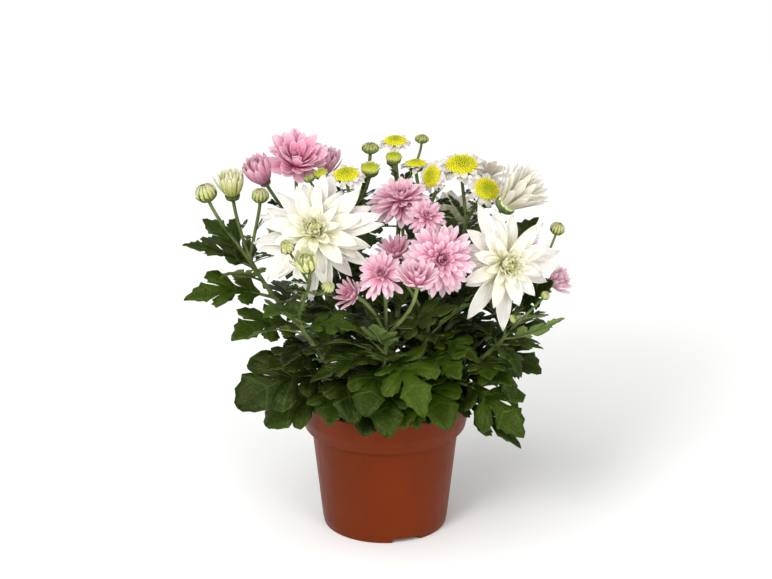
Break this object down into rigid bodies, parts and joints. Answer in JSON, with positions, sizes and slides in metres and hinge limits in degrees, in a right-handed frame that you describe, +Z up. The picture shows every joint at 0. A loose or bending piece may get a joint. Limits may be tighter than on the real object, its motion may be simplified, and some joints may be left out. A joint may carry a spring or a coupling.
{
  "type": "pot chrysanthemum",
  "caption": "Flowering chrysanthemum bush with white, pink and yellow-centred blooms over lobed leaves, rooted in a round tapered plastic nursery pot that stands flat.",
  "frame": {"origin": "middle of the pot's base, on the ground", "axes": "+Z up along the pot's axis, -Y towards the front of the plant, +X to the right"},
  "size_m": [0.2618, 0.2289, 0.2645],
  "materials": {
    "pot_plastic": "satin",
    "potting_soil": "rough",
    "leaf_and_stem": "matte",
    "white_petal": "matte",
    "pink_petal": "matte",
    "deep_pink_petal": "matte",
    "withered_petal": "matte",
    "yellow_florets": "matte"
  },
  "bodies": {
    "root": {"disc_button_back": "yellow_florets", "disc_button_big": "yellow_florets", "disc_button_face": "yellow_florets", "disc_button_left": "yellow_florets", "disc_button_middle": "yellow_florets", "disc_button_side": "yellow_florets", "disc_button_top": "yellow_florets", "florets_cup_left": "yellow_florets", "florets_cup_middle": "yellow_florets", "florets_cup_top": "yellow_florets", "petals_pink_back": "deep_pink_petal", "petals_pink_back_left": "pink_petal", "petals_pink_back_right": "pink_petal", "petals_pink_big": "pink_petal", "petals_pink_bud": "pink_petal", "petals_pink_bud_right": "pink_petal", "petals_pink_half_front": "pink_petal", "petals_pink_half_left": "deep_pink_petal", "petals_pink_half_middle": "pink_petal", "petals_pink_half_right": "deep_pink_petal", "petals_pink_low": "pink_petal", "petals_pink_top": "pink_petal", "petals_pink_top_right": "pink_petal", "petals_white_back": "white_petal", "petals_white_half": "white_petal", "petals_white_half_front": "white_petal", "petals_white_left": "white_petal", "petals_white_right": "white_petal", "petals_white_tip_bud": "white_petal", "petals_withered": "withered_petal", "pot": "pot_plastic", "rays_button_back": "white_petal", "rays_button_big": "white_petal", "rays_button_face": "white_petal", "rays_button_left": "white_petal", "rays_button_middle": "white_petal", "rays_button_side": "white_petal", "rays_button_top": "white_petal", "soil": "potting_soil", "stem_back_left": "leaf_and_stem", "stem_back_right": "leaf_and_stem", "stem_button_left": "leaf_and_stem", "stem_button_middle": "leaf_and_stem", "stem_button_right": "leaf_and_stem", "stem_button_top": "leaf_and_stem", "stem_left_buds": "leaf_and_stem", "stem_pink_back": "leaf_and_stem", "stem_pink_big": "leaf_and_stem", "stem_pink_front": "leaf_and_stem", "stem_pink_right": "leaf_and_stem", "stem_pink_top": "leaf_and_stem", "stem_white_half": "leaf_and_stem", "stem_white_left": "leaf_and_stem", "stem_white_right": "leaf_and_stem"}
  },
  "joints": []
}
